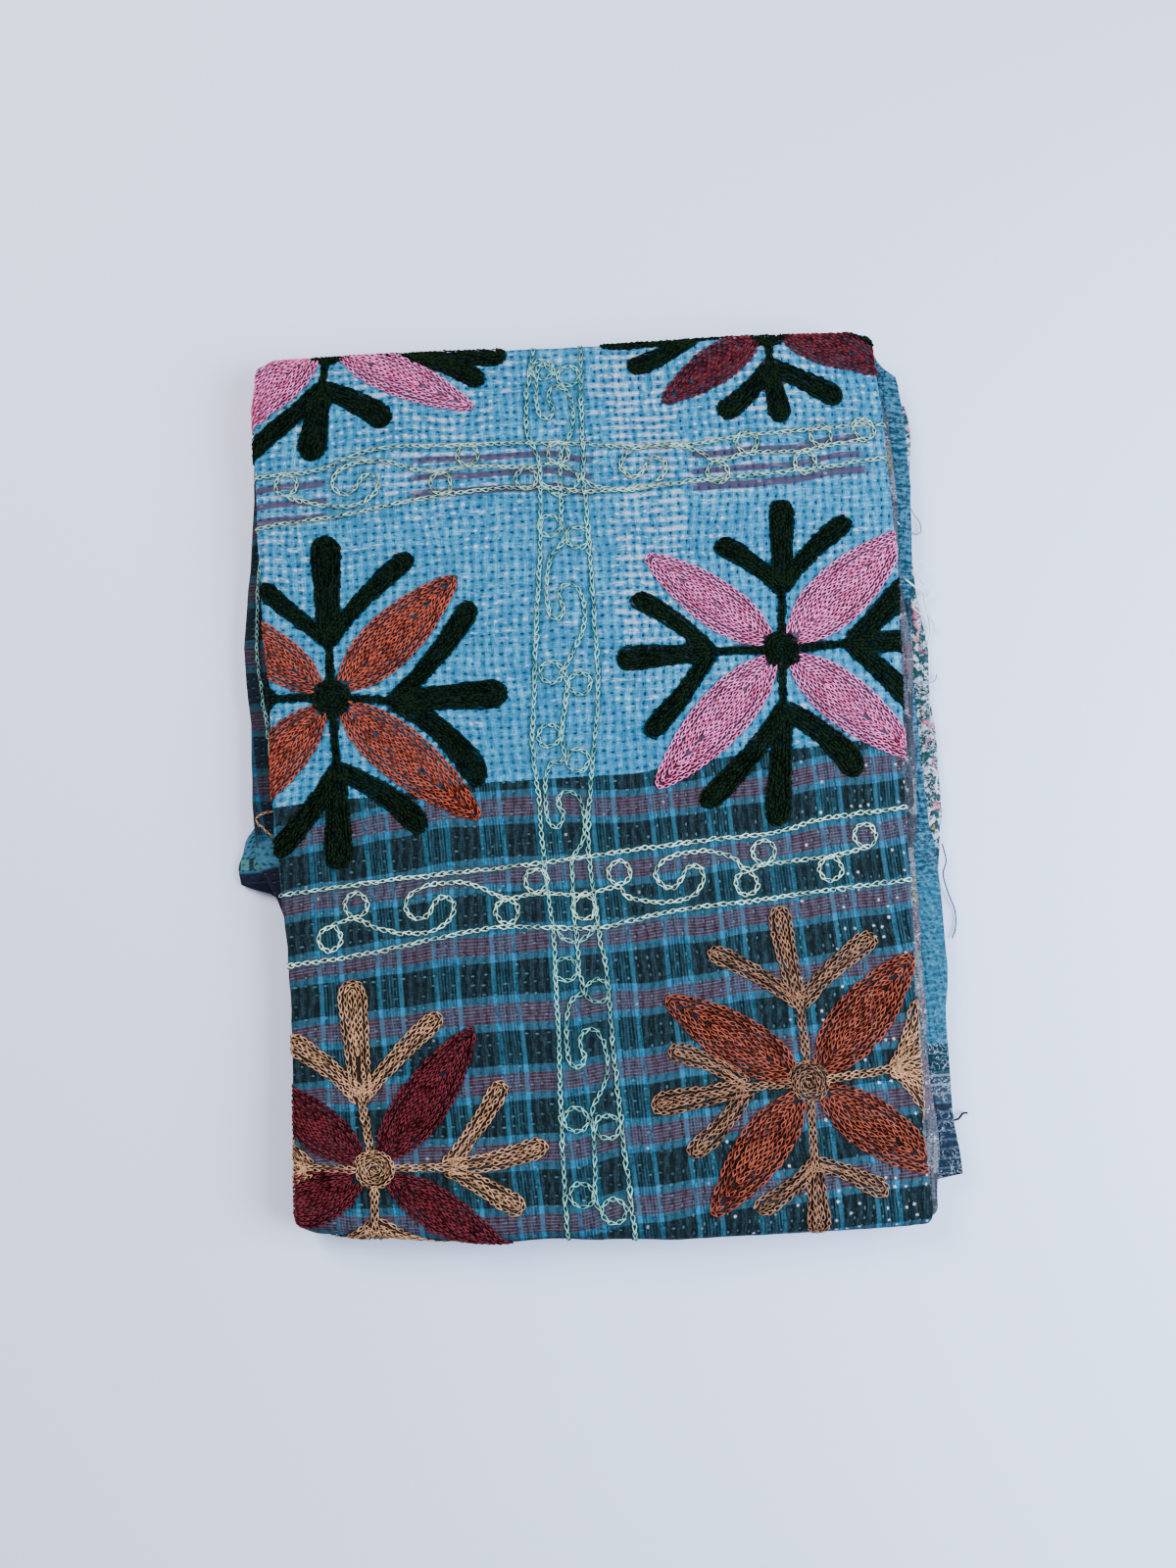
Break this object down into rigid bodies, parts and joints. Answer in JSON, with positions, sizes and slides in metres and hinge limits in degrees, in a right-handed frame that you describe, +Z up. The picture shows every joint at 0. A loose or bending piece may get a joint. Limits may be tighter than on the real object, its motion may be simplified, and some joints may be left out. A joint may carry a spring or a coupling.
{
  "type": "folded kantha quilt",
  "caption": "Hand-stitched patchwork cotton quilt with chain-stitch flowers, folded in thirds both ways into a low stack that lies flat as bedding or a throw",
  "frame": {"origin": "Centre of the bounding box in plan, on the surface that the folded quilt lies on", "axes": "+Z up through the stack; +Y along its longer side, towards the top fold of the picture; +X across it, towards the open hems"},
  "size_m": [0.605, 0.7639, 0.0359],
  "materials": {
    "stitched_cotton": "Matte worn cotton, light blue and dark teal plaid, with wool-like chain-stitch embroidery and rows of running stitch"
  },
  "bodies": {
    "root": {"quilt": "stitched_cotton"}
  },
  "joints": []
}
